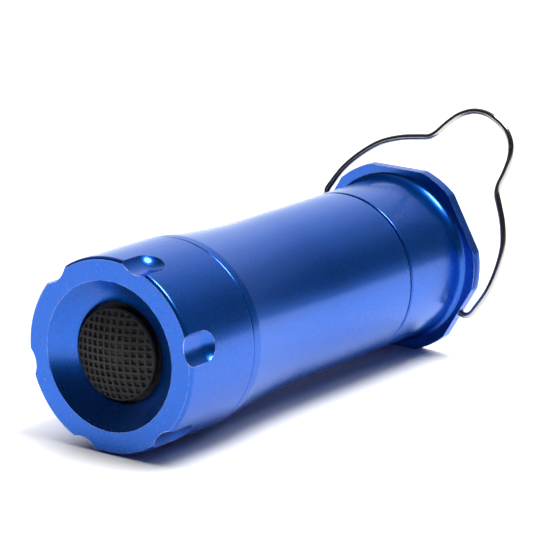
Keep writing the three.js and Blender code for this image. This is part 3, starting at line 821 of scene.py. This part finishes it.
def tube(bm, path, radius, sides=24, round_ends=0.15):
    """Sweeps a circle along a path in metres; the ends are slightly rounded and closed."""
    frames = []
    side = None
    for i, point in enumerate(path):
        ahead = (path[min(i + 1, len(path) - 1)] - path[max(i - 1, 0)]).normalized()
        if side is None:
            side = ahead.orthogonal().normalized()
        side = (side - ahead * side.dot(ahead)).normalized()
        frames.append((point, side, ahead.cross(side)))
    rings = []
    for index, (point, side, other) in enumerate(frames):
        size = radius * (1 - round_ends) if index in (0, len(frames) - 1) else radius
        ring = []
        for step in range(sides):
            angle = 2 * math.pi * step / sides
            ring.append(bm.verts.new(point + (side * math.cos(angle) + other * math.sin(angle)) * size))
        rings.append(ring)
    for low, high in zip(rings, rings[1:]):
        for i in range(sides):
            j = (i + 1) % sides
            bm.faces.new((low[i], low[j], high[j], high[i]))
    bm.faces.new(rings[0][::-1])
    bm.faces.new(rings[-1])
    return bm


def bail():
    """The wire bail: two bent pins, two legs, and the hook at the top."""
    sideways = across(PIVOT_ANGLE)
    lean = math.radians(BAIL_LEAN)
    upright = across(PIVOT_ANGLE - 90) * math.cos(lean) + Vector((0, math.sin(lean), 0))
    half = [*BAIL_HALF, (0, BAIL_TOP)]
    whole = half + [(-x, height) for x, height in half[-2::-1]]
    centre = ORIGIN + Vector((0, PIVOT_Y * MM, 0))
    points = [centre + (sideways * x + upright * height) * MM for x, height in whole]
    path = catmull_rom(points, BAIL_STEPS)
    finish_piece("bail_wire", tube(bmesh.new(), path, WIRE_R * MM), "bail_wire", "bail", ["bail"], 40)


bail()


# --- Parts inside -------------------------------------------------------------------------

def inner_part(node, profile, soften=0.1, facets=96, place=(0, 0, 0), smooth_angle=30):
    """A turned part that stands in for one CAD node, in that node's material and on its body."""
    outline = softened(profile, soften) if soften else profile
    bm = spun(bmesh.new(), edge_loops(outline), facets)
    bmesh.ops.translate(bm, verts=bm.verts, vec=Vector(place) * MM)
    finish_piece(f"{node}_fine", bm, SLOT_OF[node], BODY_OF[node], [node], smooth_angle)


def disc(node, soften=0.1, facets=96):
    """A plain round plate that fills a node's span."""
    start, end = node_span(node)
    radius = node_radius(node)
    inner_part(node, [[0, start], [radius, start], [radius, end], [0, end]], soften, facets)


def ring(node, inner, soften=0.1, facets=144):
    """A plain ring that fills a node's span, with the given inner radius."""
    start, end = node_span(node)
    outer = node_radius(node)
    inner_part(node, [[inner, start], [outer, start], [outer, end], [inner, end]], soften, facets)


COIL_STEPS = 28                 # path points a turn
COIL_CLOSED = 0.6               # turns at each end that lie nearly flat
COIL_CLOSED_RISE = 0.1          # share of the spring's height that climbs evenly all the way


def coil(node, start_r, end_r, turns, wire, place=(0, 0, 0), body=None):
    """A coil spring between a node's ends, from one radius to the other, with closed end turns."""
    start, end = node_span(node)
    closed_share = COIL_CLOSED / turns
    steps = round(turns * COIL_STEPS)
    path = []
    for step in range(steps + 1):
        share = step / steps
        rise = min(1, max(0, (share - closed_share) / (1 - 2 * closed_share)))
        radius = start_r + (end_r - start_r) * share
        climbed = COIL_CLOSED_RISE * share + (1 - COIL_CLOSED_RISE) * rise
        height = start + wire + (end - start - 2 * wire) * climbed
        point = across(360 * turns * share) * radius + Vector((0, height, 0)) + Vector(place)
        path.append(ORIGIN + point * MM)
    bm = tube(bmesh.new(), path, wire * MM, 12)
    finish_piece(f"{node}_fine", bm, SLOT_OF[node], body or BODY_OF[node], [node], 40)


THREAD_CREST_R = NECK_R - 0.05
THREAD_PITCH = 1.0
THREAD_START_Y = 12.95
THREAD_END_Y = 15.25
THREAD_STEPS = 96               # sections a turn
THREAD_SUNK_R = THREAD_ROOT_R - 0.05    # where the crest starts, just below the neck's surface
THREAD_FOOT_R = THREAD_ROOT_R - 0.1
THREAD_CREST_HALF, THREAD_FOOT_HALF = 0.1, 0.34
THREAD_FADE = 8                 # the ridge fades over one part in this many, at each end
THREAD_LEAST = 0.02             # share of its height left at the very ends


def neck_thread():
    """The helical ridge on the body's neck, fading out at both ends."""
    bm = bmesh.new()
    turns = (THREAD_END_Y - THREAD_START_Y) / THREAD_PITCH
    steps = round(turns * THREAD_STEPS)
    rings = []
    for step in range(steps + 1):
        y = THREAD_START_Y + (THREAD_END_Y - THREAD_START_Y) * step / steps
        height = min(1, THREAD_FADE * step / steps, THREAD_FADE * (steps - step) / steps)
        crest = THREAD_SUNK_R + (THREAD_CREST_R - THREAD_SUNK_R) * max(THREAD_LEAST, height)
        section = [(THREAD_FOOT_R, -THREAD_FOOT_HALF), (crest, -THREAD_CREST_HALF)]
        section += [(crest, THREAD_CREST_HALF), (THREAD_FOOT_R, THREAD_FOOT_HALF)]
        direction = across(360 * turns * step / steps)
        corners = [direction * radius + Vector((0, y + off, 0)) for radius, off in section]
        rings.append([bm.verts.new(ORIGIN + corner * MM) for corner in corners])
    for low, high in zip(rings, rings[1:]):
        for i in range(4):
            j = (i + 1) % 4
            bm.faces.new((low[i], low[j], high[j], high[i]))
    bm.faces.new(rings[0][::-1])
    bm.faces.new(rings[-1])
    finish_piece("neck_thread", bm, "blue_anodised", "body", [], 30)


O_RING_SECTION_R = 0.38


def neck_o_ring():
    """The O-ring in the neck's groove."""
    start, end = node_span("tail_o_ring")
    centre = [node_radius("tail_o_ring") - O_RING_SECTION_R, (start + end) / 2]
    profile = arc(centre, O_RING_SECTION_R, 0, 360, 20)[:-1]
    inner_part("tail_o_ring", profile, 0, 180, smooth_angle=60)


HOUSING_BORE_R = 3.4
HOUSING_FLOOR_Y = 9.6
RETURN_SPRING_R = 2.0
RETURN_SPRING_TURNS, RETURN_SPRING_WIRE_R = 4.5, 0.25
SPACER_IN_R = 8.6
RETAINER_IN_R = 9.5
TAIL_SPRING_RADII = (3.05, 1.85)        # from its board end to its cell end
TAIL_SPRING_TURNS, TAIL_SPRING_WIRE_R = 3.5, 0.3


def switch():
    """The switch stack in the cap: plunger, housing, springs, spacer, board and retaining ring."""
    disc("switch_plunger", 0.35)
    start, end = node_span("switch_housing")
    outer = node_radius("switch_housing")
    profile = [[0, HOUSING_FLOOR_Y], [HOUSING_BORE_R, HOUSING_FLOOR_Y], [HOUSING_BORE_R, start]]
    inner_part("switch_housing", profile + [[outer, start], [outer, end], [0, end]])
    coil_start, coil_end = node_span("switch_return_spring")
    gives = ("button", "cap", coil_start, coil_end)
    coil("switch_return_spring", RETURN_SPRING_R, RETURN_SPRING_R, RETURN_SPRING_TURNS,
         RETURN_SPRING_WIRE_R, body=gives)
    ring("switch_spacer", SPACER_IN_R)
    disc("switch_board", 0.06)
    ring("switch_retaining_ring", RETAINER_IN_R, 0.2)
    coil("tail_contact_spring", *TAIL_SPRING_RADII, TAIL_SPRING_TURNS, TAIL_SPRING_WIRE_R)


BATTERY_FLANGE_END_Y = 16.0
BATTERY_IN_R, BATTERY_OUT_R = 11.65, 12.2
PLATE = 2.0                     # thickness of the battery cartridge's end plates
SEAT_R, SEAT_DEPTH = 4.15, 0.65
SPINE_R = 0.7
CELL_COUNT = 3
CELL_RING_R = 6.1
CELL_R = 5.25
CELL_BASE_R = 4.0               # the bare base, set in from the jacket
CELL_JACKET_R = 4.2             # the jacket's edge round the base
CELL_STEP = 0.15                # how deep the base and the top are set in
CELL_TOP_OUT_R, CELL_TOP_IN_R = 3.6, 3.4
NUB_R, NUB_LENGTH = 1.9, 0.8
CELL_SPRING_RADII = (2.4, 1.6)
CELL_SPRING_TURNS, CELL_SPRING_WIRE_R = 2.0, 0.18
FRONT_SPRING_RADII = (1.95, 2.95)
FRONT_SPRING_TURNS, FRONT_SPRING_WIRE_R = 3.0, 0.25


def power():
    """The battery tube and, in it, the cartridge with its three cells, contacts and springs."""
    start, end = node_span("battery_tube")
    flange = node_radius("battery_tube")
    profile = [[BATTERY_IN_R, start], [flange, start], [flange, BATTERY_FLANGE_END_Y]]
    profile += [[BATTERY_OUT_R, BATTERY_FLANGE_END_Y], [BATTERY_OUT_R, end], [BATTERY_IN_R, end]]
    inner_part("battery_tube", profile, 0.12, 144)
    start, end = node_span("cartridge_frame")
    plate = node_radius("cartridge_frame")
    profile = [[0, start + SEAT_DEPTH], [SEAT_R, start + SEAT_DEPTH], [SEAT_R, start], [plate, start]]
    profile += [[plate, start + PLATE], [SPINE_R, start + PLATE]]
    profile += [[SPINE_R, end - PLATE], [plate, end - PLATE]]
    profile += [[plate, end], [SEAT_R, end], [SEAT_R, end - SEAT_DEPTH], [0, end - SEAT_DEPTH]]
    inner_part("cartridge_frame", profile)
    disc("cartridge_rear_contact", 0.08)
    disc("cartridge_front_contact", 0.08)
    for index in range(CELL_COUNT):
        place = across(360 * index / CELL_COUNT) * CELL_RING_R
        start, end = node_span(f"cell_{index + 1}")
        shoulder = end - NUB_LENGTH
        profile = [[0, start + CELL_STEP], [CELL_BASE_R, start + CELL_STEP], [CELL_JACKET_R, start]]
        profile += [[CELL_R, start], [CELL_R, shoulder], [CELL_TOP_OUT_R, shoulder]]
        profile += [[CELL_TOP_IN_R, shoulder - CELL_STEP], [NUB_R, shoulder - CELL_STEP]]
        profile += [[NUB_R, end], [0, end]]
        inner_part(f"cell_{index + 1}", profile, 0.12, 72, place)
        coil(f"cell_spring_{index + 1}", *CELL_SPRING_RADII, CELL_SPRING_TURNS, CELL_SPRING_WIRE_R, place)
    coil("front_contact_spring", *FRONT_SPRING_RADII, FRONT_SPRING_TURNS, FRONT_SPRING_WIRE_R)


POCKET_R, POCKET_END_Y = 4.5, 67.2
EMITTER_BASE_TOP_Y = 72.5
EMITTER_DOME_R = 1.3
EMITTER_DOME_STEPS = 12


def led():
    """The heatsink, the LED's board, and the emitter with its domed lens."""
    start, end = node_span("led_heatsink")
    radius = node_radius("led_heatsink")
    pocket = [[0, POCKET_END_Y], [POCKET_R, POCKET_END_Y], [POCKET_R, start]]
    inner_part("led_heatsink", pocket + [[radius, start], [radius, end], [0, end]], 0.15)
    disc("led_board", 0.06)
    start, end = node_span("led_emitter")
    radius = node_radius("led_emitter")
    rise = end - EMITTER_BASE_TOP_Y
    profile = [[0, start], [radius, start], [radius, EMITTER_BASE_TOP_Y]]
    for step in range(EMITTER_DOME_STEPS + 1):
        angle = math.pi / 2 * step / EMITTER_DOME_STEPS
        profile.append([EMITTER_DOME_R * math.cos(angle), EMITTER_BASE_TOP_Y + rise * math.sin(angle)])
    profile[-1][0] = 0
    inner_part("led_emitter", profile, 0, 64)


REFLECTOR_HOLE_R, REFLECTOR_MOUTH_R = 3.0, 12.2
REFLECTOR_WALL = 0.8
REFLECTOR_RIM = 0.9             # thickness of the rim
REFLECTOR_RIM_ROUND = 0.1
REFLECTOR_NECK = 0.4            # clearance between the bowl's outside and the rim
REFLECTOR_STEPS = 48
COLLAR_WIDTH = 1.0
SECOND_COLLAR_Y = 39.5
TUBE_IN_R, TUBE_OUT_R = 12.5, 13.4
GLIDE_BAND_IN_R = 13.5
GASKET_IN_R = 12.3
LENS_RING_IN_R = 12.0
FINE_FACETS = 192


def reflector():
    """A deep bright bowl, parabolic from its emitter hole to its mouth, with a flat rim."""
    start, end = node_span("reflector")
    rim = node_radius("reflector")
    rim_y = end - REFLECTOR_RIM
    bowl = []
    for step in range(REFLECTOR_STEPS + 1):
        share = step / REFLECTOR_STEPS
        radius = REFLECTOR_HOLE_R + (REFLECTOR_MOUTH_R - REFLECTOR_HOLE_R) * share
        bowl.append((radius, start + (end - start) * share ** 2))
    outside = [[radius + REFLECTOR_WALL, y] for radius, y in bowl if y < rim_y - REFLECTOR_NECK]
    profile = outside + [[outside[-1][0] + REFLECTOR_NECK, rim_y], [rim - REFLECTOR_RIM_ROUND, rim_y]]
    profile += [[rim, rim_y + REFLECTOR_RIM_ROUND], [rim, end - REFLECTOR_RIM_ROUND]]
    profile += [[rim - REFLECTOR_RIM_ROUND, end]]
    profile += [[radius, y] for radius, y in reversed(bowl)]
    inner_part("reflector", profile, 0, FINE_FACETS, smooth_angle=CRISP_ANGLE)


def lantern():
    """The clear tube that the head pulls out of the body, with two collars and its glide band."""
    start, end = node_span("lantern_tube")
    collar = node_radius("lantern_tube")
    profile = [[TUBE_IN_R, start], [collar, start]]
    profile += [[collar, start + COLLAR_WIDTH], [TUBE_OUT_R, start + COLLAR_WIDTH]]
    profile += [[TUBE_OUT_R, SECOND_COLLAR_Y], [collar, SECOND_COLLAR_Y]]
    profile += [[collar, SECOND_COLLAR_Y + COLLAR_WIDTH], [TUBE_OUT_R, SECOND_COLLAR_Y + COLLAR_WIDTH]]
    inner_part("lantern_tube", profile + [[TUBE_OUT_R, end], [TUBE_IN_R, end]], 0.08, FINE_FACETS)
    ring("glide_band", GLIDE_BAND_IN_R, 0.06, FINE_FACETS)


def lens_stack():
    """The lens, its gasket and the ring that holds them."""
    disc("lens", 0.25, FINE_FACETS)
    ring("lens_gasket", GASKET_IN_R, 0.2, FINE_FACETS)
    ring("lens_retaining_ring", LENS_RING_IN_R, 0.22, FINE_FACETS)


neck_thread()
neck_o_ring()
switch()
power()
led()
reflector()
lantern()
lens_stack()


# --- Floor and light ----------------------------------------------------------------------

FLOOR_TONE = (0.93, 0.93, 0.93, 1)
FLOOR_HALF_SIZE = 6.0                           # metres
KEY_STRENGTH = 2.6                              # casts the shadows; unseen in reflections
KEY_SPREAD = 24                                 # degrees across
KEY_FROM = (0.28, 0.14, 0.95)
GLEAM_STRENGTH = 3.6                            # the key as reflections see it
GLEAM_SPREAD = 25
GLEAM_FROM = (0.34, 0.17, 0.92)
SOFT_STRENGTH = 3.75                            # a broad soft light; unseen in reflections
SOFT_SPREAD = 96
SOFT_FROM = (-0.16, 0.44, 0.88)
GLOW_FROM = (-0.52, 0.78, 0.30)                 # what the blue metal mirrors, with the falloff below
GLOW_FALL = ((88, 0.03), (58, 0.10), (42, 0.38), (24, 0.9), (8, 1.25))     # degrees off, level
HORIZON_LEVEL = 0.30                            # extra light just above the horizon
HORIZON_TOP = 0.22                              # height, as a share of straight up, where it ends


def add_floor():
    """Plain pale paper under the light."""
    bm = bmesh.new()
    bmesh.ops.create_grid(bm, x_segments=1, y_segments=1, size=FLOOR_HALF_SIZE)
    floor = loose_object("floor", bm)
    material = bpy.data.materials.new("floor_paper")
    material.use_nodes = True
    shader = material.node_tree.nodes["Principled BSDF"]
    shader.inputs["Base Color"].default_value = FLOOR_TONE
    shader.inputs["Roughness"].default_value = 0.9
    floor.data.materials.append(material)


def add_sun(name, comes_from, spread, strength):
    """A distant light; a wide spread, in degrees, makes it as soft as a big overhead box."""
    data = bpy.data.lights.new(name, "SUN")
    data.energy = strength
    data.angle = math.radians(spread)
    lamp = bpy.data.objects.new(name, data)
    bpy.context.scene.collection.objects.link(lamp)
    lamp.matrix_world = Vector(comes_from).to_track_quat("Z", "Y").to_matrix().to_4x4()
    return lamp


def add_world():
    """A dim studio with one broad glow low down behind the light's left side."""
    world = bpy.data.worlds.new("studio")
    bpy.context.scene.world = world
    world.use_nodes = True
    tree = world.node_tree
    background = tree.nodes["Background"]
    place = tree.nodes.new("ShaderNodeTexCoord")
    aim = tree.nodes.new("ShaderNodeVectorMath")
    aim.operation = "DOT_PRODUCT"
    aim.inputs[1].default_value = Vector(GLOW_FROM).normalized()
    tree.links.new(place.outputs["Generated"], aim.inputs[0])
    ramp = tree.nodes.new("ShaderNodeValToRGB")
    ramp.color_ramp.interpolation = "EASE"
    stops = ramp.color_ramp.elements
    while len(stops) < len(GLOW_FALL):
        stops.new(0.5)
    for stop, (degrees, level) in zip(stops, GLOW_FALL):
        stop.position = math.cos(math.radians(degrees))
        stop.color = (level, level, level * 1.02, 1)
    tree.links.new(aim.outputs["Value"], ramp.inputs["Fac"])
    split = tree.nodes.new("ShaderNodeSeparateXYZ")
    tree.links.new(place.outputs["Generated"], split.inputs["Vector"])
    horizon = tree.nodes.new("ShaderNodeMapRange")
    horizon.interpolation_type = "SMOOTHSTEP"
    fade = (("From Min", 0), ("From Max", HORIZON_TOP), ("To Min", HORIZON_LEVEL), ("To Max", 0))
    for name, value in fade:
        horizon.inputs[name].default_value = value
    tree.links.new(split.outputs["Z"], horizon.inputs["Value"])
    total = tree.nodes.new("ShaderNodeVectorMath")
    total.operation = "ADD"
    tree.links.new(ramp.outputs["Color"], total.inputs[0])
    tree.links.new(horizon.outputs["Result"], total.inputs[1])
    tree.links.new(total.outputs["Vector"], background.inputs["Color"])


add_floor()
add_world()
add_sun("key", KEY_FROM, KEY_SPREAD, KEY_STRENGTH).visible_glossy = False
add_sun("gleam", GLEAM_FROM, GLEAM_SPREAD, GLEAM_STRENGTH).visible_diffuse = False
add_sun("soft_box", SOFT_FROM, SOFT_SPREAD, SOFT_STRENGTH).visible_glossy = False
bpy.context.scene.view_settings.view_transform = "Standard"
